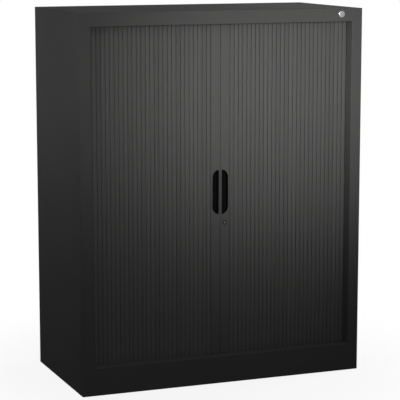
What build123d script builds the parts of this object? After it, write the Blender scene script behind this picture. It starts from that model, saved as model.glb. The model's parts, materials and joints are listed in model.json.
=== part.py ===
from build123d import *
import math
import os

os.makedirs("parts", exist_ok=True)

# Two-door tambour cabinet in folded sheet steel. All sizes are in millimetres.
# X runs to the right, Y to the back and Z up. The origin is on the floor, under the middle of the cabinet.

# Carcass
WIDTH = 900.0
DEPTH = 450.0
HEIGHT = 1125.0
SHEET = 1.0
BEND = 2.0
STILE_FACE = 34.0
HEADER_FACE = 40.0
PLINTH_FACE = 84.0
RECESS = 36.0
SIDE_LAP = 12.0
EDGE_FLANGE = 14.0
FLOOR_FLANGE = 20.0
RIM_ROUND = 0.8

# Curtain of interlocking slats
TARGET_PITCH = 13.7
CORNER_SLATS = 3
HIDDEN_SLATS = 1
SLAT_PLATE = 3.0
SLAT_GROOVE = 1.5
SLAT_ROUND = 1.0
HINGE_SETBACK = 4.6
BEAD_RADIUS = 1.4
NECK_WIDTH = 1.5
SOCKET_PLAY = 0.3
SOCKET_WALL = 1.3
SOCKET_MOUTH = (152.0, 292.0)
NECK_ANGLE = 222.0
NECK_LENGTH = 3.4

# Tracks
TRACK_HEIGHT = 12.0
TRACK_WALL = 1.7
TRACK_FLOOR = 2.0
GROOVE_PLAY = 0.5
SLAT_FLOOR_PLAY = 0.3
SLAT_TOP_PLAY = 1.5
TRACK_END_GAP = 8.0
STOP_LENGTH = 9.0
STOP_PLAY = 0.2

# Leading stiles
LEAD_WIDTH = 31.0
LEAD_DEPTH = 13.0
LEAD_WALL = 1.2
LEAD_BACK_WIDTH = 28.0
SEAM_GAP = 1.0
LEAD_END_GAP = 1.0
SHOE_PLUG = 18.0
SHOE_FIT = 0.2
SHOE_TONGUE = (4.0, 26.0)
TONGUE_PLAY = 0.8

# Recessed pulls
PULL_CENTRE = 581.0
PULL_HEIGHT = 135.0
PULL_WIDTH = 17.6
PULL_MARGIN = 6.2
PULL_INNER_CORNER = 1.5
PULL_WALL = 1.0
PULL_RIM = 1.6
PULL_RIM_PROUD = 0.6
PULL_FLOOR_GAP = 1.0
PULL_FLOOR_ROUND = 1.2
PULL_FIT = 0.2

# Lock
LOCK_X = 14.5
LOCK_Z = 488.0
HOUSING_RADIUS = 6.0
BEZEL_RADIUS = 7.2
BEZEL_PROUD = 1.0
PLUG_RADIUS = 4.5
PLUG_PLAY = 0.05
PLUG_PROUD = 0.4
HOUSING_TAIL = 5.0
HOUSING_FIT = 0.15
NUT_ACROSS_FLATS = 17.0
NUT_THICKNESS = 3.0
KEYWAY = (1.3, 5.6, 3.0)
HOOK_THICKNESS = 2.0
HOOK_PLAY = 0.3
HOOK_HALF_WIDTH = 3.5
HOOK_BOSS_RADIUS = 7.0
HOOK_REACH = 25.5
HOOK_NOSE_START = 21.5
HOOK_NOSE = 7.5
TAIL_SQUARE = 5.0
TAIL_FIT = 0.05
HOOK_SCREW_HEAD = (3.6, 2.0)
HOOK_SCREW_SHANK = (1.5, 6.0)
KEEPER_SHEET = 1.5
KEEPER_WALL_X = 6.0
KEEPER_BASE = 20.0
KEEPER_DEPTH = 11.0
KEEPER_BELOW = 9.5
KEEPER_ABOVE = 24.0
KEEPER_SLOT = (-5.0, 20.5)
KEEPER_SLOT_PLAY = 1.2
KEEPER_SCREWS = (-5.0, 19.0)

# Interior
LINER_GAP = 3.0
LINER_FRONT_GAP = 11.0
LINER_FLANGE = 12.0
UPRIGHT_DEPTH = 5.2
UPRIGHT_WIDTH = 22.0
UPRIGHT_SHEET = 1.2
UPRIGHT_FRONT_INSET = 45.0
UPRIGHT_REAR_INSET = 55.0
UPRIGHT_SLOT = (4.0, 12.0)
SLOT_PITCH = 25.0
SHELF_COUNT = 3
SHELF_LIP = 25.0
SHELF_RETURN = 10.0
SHELF_FRONT_GAP = 16.0
SHELF_REAR_GAP = 4.0
SHELF_SIDE_GAP = 1.5
CLIP_SHEET = 1.5
CLIP_WIDTH = 16.0
CLIP_HEIGHT = 22.0
CLIP_LEDGE = 12.0
CLIP_TONGUE = (3.4, 8.0)
CLIP_LIP = 4.0
CLIP_PLAY = 0.2

# Badge and fasteners
BADGE_RADIUS = 10.0
BADGE_PROUD = 1.0
BADGE_ROUND = 0.4
BADGE_SIDE_INSET = 69.0
BADGE_TOP_INSET = 17.5
RIVET_HEAD = (3.2, 1.0)
RIVET_SHANK = 1.6
RIVET_TAIL = 1.5
RIVET_INSET = 7.0
RIVET_SPACING = 140.0
SCREW_HEAD = (3.8, 1.8)
SCREW_SHANK = (1.9, 8.0)
SCREW_END_GAP = 24.0
SCREW_SPACING = 150.0
HEAD_ROUND = 0.8
HEAD_ROUND_SHARE = 0.8
HOLE_PLAY = 0.05

# Places worked out from the sizes above
half_width = WIDTH / 2
front = -DEPTH / 2
back = DEPTH / 2
opening_edge = half_width - STILE_FACE
opening_top = HEIGHT - HEADER_FACE
opening_bottom = PLINTH_FACE
wall_inside = half_width - SHEET
back_inside = back - 2 * SHEET

socket_inner = BEAD_RADIUS + SOCKET_PLAY
socket_outer = socket_inner + SOCKET_WALL
track_outside = HINGE_SETBACK + GROOVE_PLAY + TRACK_WALL
track_inside = socket_outer + GROOVE_PLAY + TRACK_WALL

curtain_face = front + RECESS
hinge_y = curtain_face + HINGE_SETBACK
hinge_side_x = wall_inside - track_outside
corner_per_pitch = 1 / (2 * math.sin(math.radians(90 / CORNER_SLATS) / 2))
front_slats = round((hinge_side_x - LEAD_WIDTH) / TARGET_PITCH - corner_per_pitch)
pitch = (hinge_side_x - LEAD_WIDTH) / (front_slats + corner_per_pitch)
corner_radius = pitch * corner_per_pitch
corner_x = LEAD_WIDTH + front_slats * pitch
corner_y = hinge_y + corner_radius
return_end = hinge_y - track_outside
track_back = back_inside - TRACK_END_GAP

slat_bottom = opening_bottom - TRACK_HEIGHT + TRACK_FLOOR + SLAT_FLOOR_PLAY
slat_top = opening_top + TRACK_HEIGHT - TRACK_FLOOR - SLAT_TOP_PLAY
lead_bottom = opening_bottom + LEAD_END_GAP
lead_top = opening_top - LEAD_END_GAP
lead_back = curtain_face + LEAD_DEPTH

liner_x = hinge_side_x - track_inside - LINER_GAP
liner_front = lead_back + LINER_FRONT_GAP
upright_x = liner_x - SHEET - UPRIGHT_DEPTH
shelf_half = upright_x - CLIP_SHEET - SHELF_SIDE_GAP
shelf_front = lead_back + SHELF_FRONT_GAP
shelf_back = back_inside - SHELF_REAR_GAP
upright_bottom = opening_bottom + SHEET
upright_top = opening_top - SHEET
upright_ys = {
    "front": shelf_front + UPRIGHT_FRONT_INSET,
    "rear": shelf_back - UPRIGHT_REAR_INSET,
}


def block(x, y, z):
    """A box between two values on each axis."""
    size = [abs(pair[1] - pair[0]) for pair in (x, y, z)]
    middle = [(pair[0] + pair[1]) / 2 for pair in (x, y, z)]
    return Pos(*middle) * Box(*size)


def rod(radius, start, length, direction):
    """A round bar from a start point along a direction."""
    plane = Plane(origin=start, z_dir=direction)
    return extrude(plane * Circle(radius), length)


def domed_head(radius, height, start, direction):
    """A low domed head that stands on a face at start."""
    head = rod(radius, start, height, direction)
    far_edge = head.edges().sort_by(Axis(start, direction))[-1]
    return fillet(far_edge, min(HEAD_ROUND, HEAD_ROUND_SHARE * height))


def folded(points, plane, width):
    """Sheet bent through a run of points on its outside, which all turn left; width is its length."""
    inside = []
    for index, point in enumerate(points):
        before = Vector(*points[max(index - 1, 0)])
        here = Vector(*point)
        after = Vector(*points[min(index + 1, len(points) - 1)])
        arriving = (here - before).normalized() if index else (after - here).normalized()
        leaving = (after - here).normalized() if index < len(points) - 1 else arriving
        left = Vector(-arriving.Y, arriving.X)
        next_left = Vector(-leaving.Y, leaving.X)
        step = left if index in (0, len(points) - 1) else left + next_left
        inside.append(here + step * SHEET)
    outer = FilletPolyline(*points, radius=BEND)
    inner = FilletPolyline(*[(p.X, p.Y) for p in inside], radius=BEND - SHEET)
    ends = [Line(outer @ 0, inner @ 0), Line(outer @ 1, inner @ 1)]
    outline = make_face(outer.edges() + inner.edges() + ends[0].edges() + ends[1].edges())
    return extrude(plane * outline, width)


def mirrored(shape):
    """The left-hand copy of a right-hand piece."""
    return mirror(shape, Plane.YZ)


def write(name, *solids):
    """One file for each node, holding one solid or a group of like solids."""
    export_step(Compound(children=[s for shape in solids for s in shape.solids()]), f"parts/{name}.step")


# The front frame: header, plinth and two stiles, folded back round the opening and at the outside edges.
def opening_block(grow):
    return block(
        (-opening_edge - grow, opening_edge + grow),
        (front - BEND, return_end + BEND),
        (opening_bottom - grow, opening_top + grow),
    )


def front_frame():
    roof = HEIGHT - SHEET
    outside = block((-half_width, half_width), (front, return_end), (0, roof)) - opening_block(0)
    front_edges = outside.faces().sort_by(Axis.Y)[0].edges()
    rounded = [e for e in front_edges if 0 < (e @ 0.5).Z < roof]
    outside = fillet(rounded, BEND)
    hollow = block((-wall_inside, wall_inside), (front + SHEET, return_end), (SHEET, roof - SHEET))
    hollow -= opening_block(SHEET)
    hollow_edges = hollow.faces().sort_by(Axis.Y)[0].edges()
    rounded = [e for e in hollow_edges if SHEET < (e @ 0.5).Z < roof - SHEET]
    hollow = fillet(rounded, BEND - SHEET)
    frame = outside - hollow
    side_trim = block((wall_inside, half_width), (front + SIDE_LAP, return_end), (0, roof))
    frame -= side_trim + mirrored(side_trim)
    frame -= block((-half_width, half_width), (front + EDGE_FLANGE, return_end), (roof - SHEET, roof))
    frame -= block((-half_width, half_width), (front + FLOOR_FLANGE, return_end), (0, SHEET))
    return frame


frame = front_frame()
between = (-opening_edge, opening_edge)
frame_span = (front, return_end)
write("header_rail", frame & block(between, frame_span, (opening_top, HEIGHT)))
write("plinth_rail", frame & block(between, frame_span, (0, opening_bottom)))
right_stile = frame & block((opening_edge, half_width), frame_span, (0, HEIGHT))
write("right_front_stile", right_stile)
write("left_front_stile", mirrored(right_stile))


# Outer skins. The side folds in behind the back panel, which is riveted to that flange from outside.
def rivet_heights():
    usable = HEIGHT - 2 * FLOOR_FLANGE
    count = max(2, round(usable / RIVET_SPACING) + 1)
    return [FLOOR_FLANGE + usable * i / (count - 1) for i in range(count)]


def rivet_places():
    flange_middle = half_width - RIVET_INSET
    return [(side * flange_middle, z) for side in (-1, 1) for z in rivet_heights()]


def rivet_holes():
    start = back - 3 * SHEET
    return [rod(RIVET_SHANK + HOLE_PLAY, (x, start, z), 4 * SHEET, (0, 1, 0)) for x, z in rivet_places()]


def side_panel():
    roof = HEIGHT - SHEET
    path = [(half_width, front + SIDE_LAP), (half_width, back), (half_width - EDGE_FLANGE, back)]
    panel = folded(path, Plane.XY, roof)
    flange_x = (half_width - EDGE_FLANGE, wall_inside)
    panel += block(flange_x, (front + FLOOR_FLANGE, back - BEND), (0, SHEET))
    panel += block(flange_x, (front + EDGE_FLANGE, back - BEND), (roof - SHEET, roof))
    return panel - rivet_holes()


def back_panel():
    roof = HEIGHT - SHEET
    edge = half_width - BEND
    panel = block((-edge, edge), (back_inside, back_inside + SHEET), (0, roof))
    under = half_width - EDGE_FLANGE
    panel += block((-under, under), (back_inside - FLOOR_FLANGE, back_inside), (0, SHEET))
    notch = block((under, edge), (back_inside, back_inside + SHEET), (0, SHEET))
    notch += Pos(0, 0, roof - SHEET) * notch
    return panel - notch - mirrored(notch) - rivet_holes()


def top_panel():
    panel = block((-half_width, half_width), (front, back), (HEIGHT - SHEET, HEIGHT))
    return fillet(panel.faces().sort_by(Axis.Z)[-1].edges(), RIM_ROUND)


def rivet(x, z):
    head_radius, head_height = RIVET_HEAD
    head = domed_head(head_radius, head_height, (x, back, z), (0, 1, 0))
    return head + rod(RIVET_SHANK, (x, back, z), 2 * SHEET + RIVET_TAIL, (0, -1, 0))


write("right_side_panel", side_panel())
write("left_side_panel", mirrored(side_panel()))
write("back_panel", back_panel())
write("top_panel", top_panel())
write("back_panel_rivets", *[rivet(x, z) for x, z in rivet_places()])


# Floor and ceiling pans: a raised middle, and a lower rim all round that carries the curtain's tracks.
def screw_places():
    start = liner_front + SCREW_END_GAP
    run = back_inside - SCREW_END_GAP - start
    count = max(2, round(run / SCREW_SPACING) + 1)
    flange_middle = liner_x - SHEET - LINER_FLANGE / 2
    ys = [start + run * i / (count - 1) for i in range(count)]
    return [(side * flange_middle, y) for side in (-1, 1) for y in ys]


def screw_holes(z, height):
    radius = SCREW_SHANK[0] + HOLE_PLAY
    return [rod(radius, (x, y, z), height, (0, 0, 1)) for x, y in screw_places()]


def raised_outline(grow):
    inner_x = hinge_side_x - track_inside + grow
    near = hinge_y + track_inside - grow
    shape = Pos(0, (near + back_inside) / 2) * Rectangle(2 * inner_x, back_inside - near)
    return fillet(shape.vertices().group_by(Axis.Y)[0], corner_radius - track_inside + grow)


def floor_pan():
    rim_z = opening_bottom - TRACK_HEIGHT
    rim = block((-wall_inside, wall_inside), (return_end, back_inside), (rim_z - SHEET, rim_z))
    raised = Pos(0, 0, rim_z - SHEET) * extrude(raised_outline(0), TRACK_HEIGHT + SHEET)
    hollow = Pos(0, 0, rim_z - SHEET) * extrude(raised_outline(-SHEET), TRACK_HEIGHT)
    return rim + raised - hollow - screw_holes(opening_bottom - 2 * SHEET, 3 * SHEET)


def upside_down(shape):
    """A floor-side piece turned over to its place at the top of the opening."""
    return Pos(0, 0, opening_top + opening_bottom) * mirror(shape, Plane.XY)


write("floor_pan", floor_pan())
write("ceiling_pan", upside_down(floor_pan()))


# Tracks: channels that guide the ends of the slats along the front, round the corner and down the side.
def front_band(outer, inner, height):
    return block((-corner_x, corner_x), (hinge_y - outer, hinge_y + inner), (0, height))


def corner_band(outer, inner, height):
    ring = Circle(corner_radius + outer) - Circle(corner_radius - inner)
    reach = 2 * (corner_radius + outer)
    quarter = ring & Pos(reach / 2, -reach / 2) * Rectangle(reach, reach)
    side_length = track_back - corner_y
    side_middle = corner_radius + (outer - inner) / 2
    run = Pos(side_middle, side_length / 2) * Rectangle(outer + inner, side_length)
    return extrude(Pos(corner_x, corner_y) * (quarter + run), height)


def track(band):
    foot = opening_bottom - TRACK_HEIGHT
    body = band(track_outside, track_inside, TRACK_HEIGHT)
    groove = band(track_outside - TRACK_WALL, track_inside - TRACK_WALL, TRACK_HEIGHT)
    return Pos(0, 0, foot) * (body - Pos(0, 0, TRACK_FLOOR) * groove)


def end_stop():
    groove_out = track_outside - TRACK_WALL - STOP_PLAY
    groove_in = track_inside - TRACK_WALL - STOP_PLAY
    foot = opening_bottom - TRACK_HEIGHT + TRACK_FLOOR
    return block(
        (hinge_side_x - groove_in, hinge_side_x + groove_out),
        (track_back - STOP_LENGTH, track_back),
        (foot, opening_bottom),
    )


write("bottom_front_track", track(front_band))
write("top_front_track", upside_down(track(front_band)))
write("right_bottom_corner_track", track(corner_band))
write("left_bottom_corner_track", mirrored(track(corner_band)))
write("right_top_corner_track", upside_down(track(corner_band)))
write("left_top_corner_track", mirrored(upside_down(track(corner_band))))
low_stops = [end_stop(), mirrored(end_stop())]
write("curtain_end_stops", *low_stops, *[upside_down(stop) for stop in low_stops])


# Curtain: each slat has a round bead on its outer edge that turns in the socket of the next slat.
def bead(x):
    neck = Pos(NECK_LENGTH / 2, 0) * Rectangle(NECK_LENGTH, NECK_WIDTH)
    return Pos(x, 0) * (Circle(BEAD_RADIUS) + Rot(0, 0, NECK_ANGLE) * neck)


def socket():
    mouth_start, mouth_end = [math.radians(angle) for angle in SOCKET_MOUTH]
    middle = (mouth_start + mouth_end) / 2
    far = 3 * socket_outer
    points = [(0, 0)] + [(far * math.cos(a), far * math.sin(a)) for a in (mouth_start, middle, mouth_end)]
    return Circle(socket_outer) - Circle(socket_inner) - make_face(Polyline(*points, close=True))


def slat_profile():
    width = pitch - SLAT_GROOVE
    plate = Pos(pitch / 2, SLAT_PLATE / 2 - HINGE_SETBACK) * Rectangle(width, SLAT_PLATE)
    plate = fillet(plate.vertices().group_by(Axis.Y)[0], SLAT_ROUND)
    return plate + socket() + bead(pitch)


def hinge_place(index):
    """Where a slat starts on the hinge line, and how far it is turned, counted from the leading stile."""
    if index < front_slats:
        return LEAD_WIDTH + index * pitch, hinge_y, 0
    step = 90 / CORNER_SLATS
    angle = (index - front_slats) * step
    x = corner_x + corner_radius * math.sin(math.radians(angle))
    y = corner_y - corner_radius * math.cos(math.radians(angle))
    return x, y, angle + step / 2


def curtain():
    one = extrude(slat_profile(), slat_top - slat_bottom)
    places = [hinge_place(index) for index in range(front_slats + HIDDEN_SLATS)]
    return [Pos(x, y, slat_bottom) * Rot(0, 0, turn) * one for x, y, turn in places]


slats = curtain()
write("right_curtain_slats", *slats)
write("left_curtain_slats", *[mirrored(slat) for slat in slats])


# Leading stiles: box sections with a bead for the first slat, and a nylon shoe plugged into each end.
def pull_outline(grow):
    """The right-hand part of an upright slot with round ends, centred on the seam and cut off short of it."""
    reach = PULL_MARGIN + PULL_WIDTH + grow
    slot = Rot(0, 0, 90) * SlotOverall(PULL_HEIGHT + 2 * grow, 2 * reach)
    kept = Pos(PULL_MARGIN - grow + reach / 2, 0) * Rectangle(reach, 2 * PULL_HEIGHT)
    half = slot & kept
    return fillet(half.vertices().group_by(Axis.X)[0], PULL_INNER_CORNER + grow)


def pull_block(grow, y_from, y_to):
    """The D-shaped outline of the pull, made solid between two depths."""
    plane = Plane(origin=(0, y_from, PULL_CENTRE), x_dir=(1, 0, 0), z_dir=(0, -1, 0))
    return extrude(plane * pull_outline(grow), y_from - y_to)


def lead_profile():
    face_end = LEAD_WIDTH - SLAT_GROOVE / 2
    start = SEAM_GAP / 2
    width = LEAD_BACK_WIDTH - start
    outer = Pos(start + width / 2, curtain_face + LEAD_DEPTH / 2) * Rectangle(width, LEAD_DEPTH)
    lip_width = face_end - start
    lip = Pos(start + lip_width / 2, curtain_face + SLAT_PLATE / 2) * Rectangle(lip_width, SLAT_PLATE)
    shell = outer + lip
    shell = fillet(shell.vertices().group_by(Axis.Y)[0], SLAT_ROUND)
    inner_width = width - 2 * LEAD_WALL
    inner = Rectangle(inner_width, LEAD_DEPTH - 2 * LEAD_WALL)
    shell -= Pos(start + width / 2, curtain_face + LEAD_DEPTH / 2) * inner
    return shell + Pos(0, hinge_y) * bead(LEAD_WIDTH)


def lead_stile():
    stile = Pos(0, 0, lead_bottom) * extrude(lead_profile(), lead_top - lead_bottom)
    return stile - pull_block(PULL_WALL + PULL_FIT, curtain_face + 2 * LEAD_WALL, curtain_face - LEAD_WALL)


def pull_cup():
    floor = lead_back - LEAD_WALL - PULL_FLOOR_GAP
    cup = pull_block(PULL_WALL, floor, curtain_face)
    rim = pull_block(PULL_RIM, curtain_face, curtain_face - PULL_RIM_PROUD)
    rim = fillet(rim.faces().sort_by(Axis.Y)[0].edges(), PULL_RIM_PROUD / 2)
    hollow = pull_block(0, floor - PULL_WALL, curtain_face - 2 * PULL_RIM_PROUD)
    hollow = fillet(hollow.faces().sort_by(Axis.Y)[-1].edges(), PULL_FLOOR_ROUND)
    return cup + rim - hollow


def guide_shoe():
    inset = SEAM_GAP / 2 + LEAD_WALL + SHOE_FIT
    plug = block(
        (inset, LEAD_BACK_WIDTH - LEAD_WALL - SHOE_FIT),
        (curtain_face + LEAD_WALL + SHOE_FIT, lead_back - LEAD_WALL - SHOE_FIT),
        (lead_bottom, lead_bottom + SHOE_PLUG),
    )
    tongue = block(
        SHOE_TONGUE,
        (hinge_y - track_outside + TRACK_WALL + TONGUE_PLAY, hinge_y + track_inside - TRACK_WALL - TONGUE_PLAY),
        (slat_bottom, lead_bottom),
    )
    tongue = fillet(tongue.edges().filter_by(Axis.Z), TONGUE_PLAY)
    return plug + tongue


right_lead = lead_stile()
lock_axis_front = (LOCK_X, curtain_face, LOCK_Z)
lock_hole = rod(HOUSING_RADIUS + HOUSING_FIT, (LOCK_X, curtain_face - SHEET, LOCK_Z), 2 * LEAD_DEPTH, (0, 1, 0))
keeper_hole_places = [(-KEEPER_WALL_X - KEEPER_BASE / 2, LOCK_Z + z) for z in KEEPER_SCREWS]


def keeper_holes(depth):
    radius = HOOK_SCREW_SHANK[0] + HOLE_PLAY
    return [rod(radius, (x, lead_back + 2 * KEEPER_SHEET, z), depth, (0, -1, 0)) for x, z in keeper_hole_places]


write("right_lead_stile", right_lead - lock_hole)
write("left_lead_stile", mirrored(right_lead) - keeper_holes(2 * KEEPER_SHEET + 2 * LEAD_WALL))
write("right_pull_cup", pull_cup())
write("left_pull_cup", mirrored(pull_cup()))
shoes = [guide_shoe(), upside_down(guide_shoe())]
write("right_guide_shoes", *shoes)
write("left_guide_shoes", *[mirrored(shoe) for shoe in shoes])


# Lock: the barrel sits in the right-hand stile, and its hook swings over into a keeper on the left-hand one.
housing_back = lead_back + HOUSING_TAIL
hook_front = housing_back + HOOK_PLAY
hook_back = hook_front + HOOK_THICKNESS


def lock_housing():
    bezel = domed_head(BEZEL_RADIUS, BEZEL_PROUD, lock_axis_front, (0, -1, 0))
    tube = rod(HOUSING_RADIUS, lock_axis_front, housing_back - curtain_face, (0, 1, 0))
    bore_start = (LOCK_X, curtain_face - 2 * BEZEL_PROUD, LOCK_Z)
    bore = rod(PLUG_RADIUS + PLUG_PLAY, bore_start, 2 * (housing_back - curtain_face), (0, 1, 0))
    return bezel + tube - bore


def lock_nut():
    plane = Plane(origin=(LOCK_X, lead_back, LOCK_Z), z_dir=(0, 1, 0))
    ring = RegularPolygon(NUT_ACROSS_FLATS / 2, 6, major_radius=False) - Circle(HOUSING_RADIUS + HOLE_PLAY)
    return extrude(plane * ring, NUT_THICKNESS)


def square_tail(half, y_from, y_to):
    return block((LOCK_X - half, LOCK_X + half), (y_from, y_to), (LOCK_Z - half, LOCK_Z + half))


def lock_plug():
    nose = curtain_face - BEZEL_PROUD - PLUG_PROUD
    plug = rod(PLUG_RADIUS, (LOCK_X, nose, LOCK_Z), housing_back - nose, (0, 1, 0))
    key_width, key_height, key_depth = KEYWAY
    plug -= block(
        (LOCK_X - key_width / 2, LOCK_X + key_width / 2),
        (nose, nose + key_depth),
        (LOCK_Z - key_height / 2, LOCK_Z + key_height / 2),
    )
    plug += square_tail(TAIL_SQUARE / 2, housing_back, hook_back)
    radius, length = HOOK_SCREW_SHANK
    return plug - rod(radius + HOLE_PLAY, (LOCK_X, hook_back, LOCK_Z), length + SHEET, (0, -1, 0))


def lock_hook():
    plane = Plane(origin=(LOCK_X, hook_front, LOCK_Z), x_dir=(1, 0, 0), z_dir=(0, -1, 0))
    arm = Circle(HOOK_BOSS_RADIUS)
    arm += Pos(0, HOOK_REACH / 2) * Rectangle(2 * HOOK_HALF_WIDTH, HOOK_REACH)
    nose_height = HOOK_REACH - HOOK_NOSE_START
    nose = Rectangle(HOOK_NOSE, nose_height)
    arm += Pos(-HOOK_NOSE / 2, HOOK_NOSE_START + nose_height / 2) * nose
    plate = extrude(plane * arm, -HOOK_THICKNESS)
    return plate - square_tail(TAIL_SQUARE / 2 + TAIL_FIT, hook_front - SHEET, hook_back + SHEET)


def hook_screw():
    head_radius, head_height = HOOK_SCREW_HEAD
    head = domed_head(head_radius, head_height, (LOCK_X, hook_back, LOCK_Z), (0, 1, 0))
    radius, length = HOOK_SCREW_SHANK
    return head + rod(radius, (LOCK_X, hook_back, LOCK_Z), length, (0, -1, 0))


def lock_keeper():
    heights = (LOCK_Z - KEEPER_BELOW, LOCK_Z + KEEPER_ABOVE)
    wall_x = (-KEEPER_WALL_X, -KEEPER_WALL_X + KEEPER_SHEET)
    base_x = (-KEEPER_WALL_X - KEEPER_BASE, -KEEPER_WALL_X + KEEPER_SHEET)
    keeper = block(base_x, (lead_back, lead_back + KEEPER_SHEET), heights)
    keeper += block(wall_x, (lead_back, lead_back + KEEPER_DEPTH), heights)
    slot_y = (hook_front - KEEPER_SLOT_PLAY, hook_back + KEEPER_SLOT_PLAY)
    slot_z = (LOCK_Z + KEEPER_SLOT[0], LOCK_Z + KEEPER_SLOT[1])
    keeper -= block((-KEEPER_WALL_X - SHEET, 0), slot_y, slot_z)
    return keeper - keeper_holes(4 * KEEPER_SHEET)


def keeper_screw(x, z):
    head_radius, head_height = HOOK_SCREW_HEAD
    seat = (x, lead_back + KEEPER_SHEET, z)
    radius, length = HOOK_SCREW_SHANK
    return domed_head(head_radius, head_height, seat, (0, 1, 0)) + rod(radius, seat, length, (0, -1, 0))


write("lock_housing", lock_housing())
write("lock_nut", lock_nut())
write("lock_plug", lock_plug())
write("lock_hook", lock_hook())
write("hook_screw", hook_screw())
write("lock_keeper", lock_keeper())
write("keeper_screws", *[keeper_screw(x, z) for x, z in keeper_hole_places])


# Liners close off the side cavities where the curtains are stored, and carry the slotted uprights.
def liner():
    inner_face = liner_x - SHEET
    panel = block((inner_face, liner_x), (liner_front, back_inside), (opening_bottom, opening_top))
    flange_x = (inner_face - LINER_FLANGE, inner_face)
    for low in (opening_bottom, opening_top - SHEET):
        panel += block(flange_x, (liner_front, back_inside), (low, low + SHEET))
    holes = screw_holes(opening_bottom - SHEET, 3 * SHEET) + screw_holes(opening_top - 2 * SHEET, 3 * SHEET)
    return panel - holes


def liner_screw(x, y):
    head_radius, head_height = SCREW_HEAD
    seat = (x, y, opening_bottom + SHEET)
    radius, length = SCREW_SHANK
    return domed_head(head_radius, head_height, seat, (0, 0, 1)) + rod(radius, seat, length, (0, 0, -1))


def slot_heights():
    count = int((upright_top - upright_bottom) / SLOT_PITCH)
    return [upright_bottom + SLOT_PITCH * (i + 0.5) for i in range(count)]


def upright(y):
    near = (y - UPRIGHT_WIDTH / 2, y + UPRIGHT_WIDTH / 2)
    heights = (upright_bottom, upright_top)
    channel = block((upright_x, liner_x - SHEET), near, heights)
    hollow_y = (near[0] + UPRIGHT_SHEET, near[1] - UPRIGHT_SHEET)
    channel -= block((upright_x + UPRIGHT_SHEET, liner_x), hollow_y, heights)
    slot_width, slot_height = UPRIGHT_SLOT
    slots = [
        block(
            (upright_x - SHEET, upright_x + 2 * UPRIGHT_SHEET),
            (y - slot_width / 2, y + slot_width / 2),
            (z - slot_height / 2, z + slot_height / 2),
        )
        for z in slot_heights()
    ]
    return channel - slots


write("right_liner", liner())
write("left_liner", mirrored(liner()))
low_screws = [liner_screw(x, y) for x, y in screw_places()]
write("liner_screws", *low_screws, *[upside_down(screw) for screw in low_screws])
for name, y in upright_ys.items():
    write(f"right_{name}_upright", upright(y))
    write(f"left_{name}_upright", mirrored(upright(y)))


# Shelves hang on clips that hook into the uprights' slots.
def clip_slots():
    """The slot that each shelf's clips use: the one nearest to an even share of the height."""
    heights = slot_heights()
    clear = upright_top - upright_bottom
    wanted = [upright_bottom + clear * (i + 1) / (SHELF_COUNT + 1) for i in range(SHELF_COUNT)]
    return [min(heights, key=lambda z: abs(z - target)) for target in wanted]


def shelf_clip(y, slot_z):
    tongue_width, tongue_height = CLIP_TONGUE
    tongue_y = (y - tongue_width / 2, y + tongue_width / 2)
    foot = slot_z - UPRIGHT_SLOT[1] / 2 + CLIP_PLAY
    behind = upright_x + UPRIGHT_SHEET + CLIP_PLAY
    plate_x = (upright_x - CLIP_SHEET, upright_x)
    plate_z = (slot_z - CLIP_HEIGHT / 2, slot_z + CLIP_HEIGHT / 2)
    clip = block(plate_x, (y - CLIP_WIDTH / 2, y + CLIP_WIDTH / 2), plate_z)
    clip += block((upright_x, behind + CLIP_SHEET), tongue_y, (foot, foot + tongue_height))
    clip += block((behind, behind + CLIP_SHEET), tongue_y, (foot - CLIP_LIP, foot))
    ledge_x = (upright_x - CLIP_SHEET - CLIP_LEDGE, upright_x)
    clip += block(ledge_x, (y - CLIP_WIDTH / 2, y + CLIP_WIDTH / 2), (plate_z[0], plate_z[0] + CLIP_SHEET))
    return clip


def shelf(slot_z):
    top = slot_z - CLIP_HEIGHT / 2 + CLIP_SHEET + SHEET
    path = [
        (shelf_back - SHELF_RETURN, top - SHELF_LIP),
        (shelf_back, top - SHELF_LIP),
        (shelf_back, top),
        (shelf_front, top),
        (shelf_front, top - SHELF_LIP),
        (shelf_front + SHELF_RETURN, top - SHELF_LIP),
    ]
    plane = Plane(origin=(-shelf_half, 0, 0), x_dir=(0, 1, 0), z_dir=(1, 0, 0))
    return folded(path, plane, 2 * shelf_half)


clips = []
for name, slot_z in zip(("lower", "middle", "upper"), clip_slots()):
    write(f"{name}_shelf", shelf(slot_z))
    for y in upright_ys.values():
        clip = shelf_clip(y, slot_z)
        clips += [clip, mirrored(clip)]
write("shelf_clips", *clips)


# A plain round badge on the header.
badge_seat = (half_width - BADGE_SIDE_INSET, front, HEIGHT - BADGE_TOP_INSET)
badge = rod(BADGE_RADIUS, badge_seat, BADGE_PROUD, (0, -1, 0))
badge = fillet(badge.faces().sort_by(Axis.Y)[0].edges(), BADGE_ROUND)
write("blank_badge", badge)
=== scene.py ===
import json
import math

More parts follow.
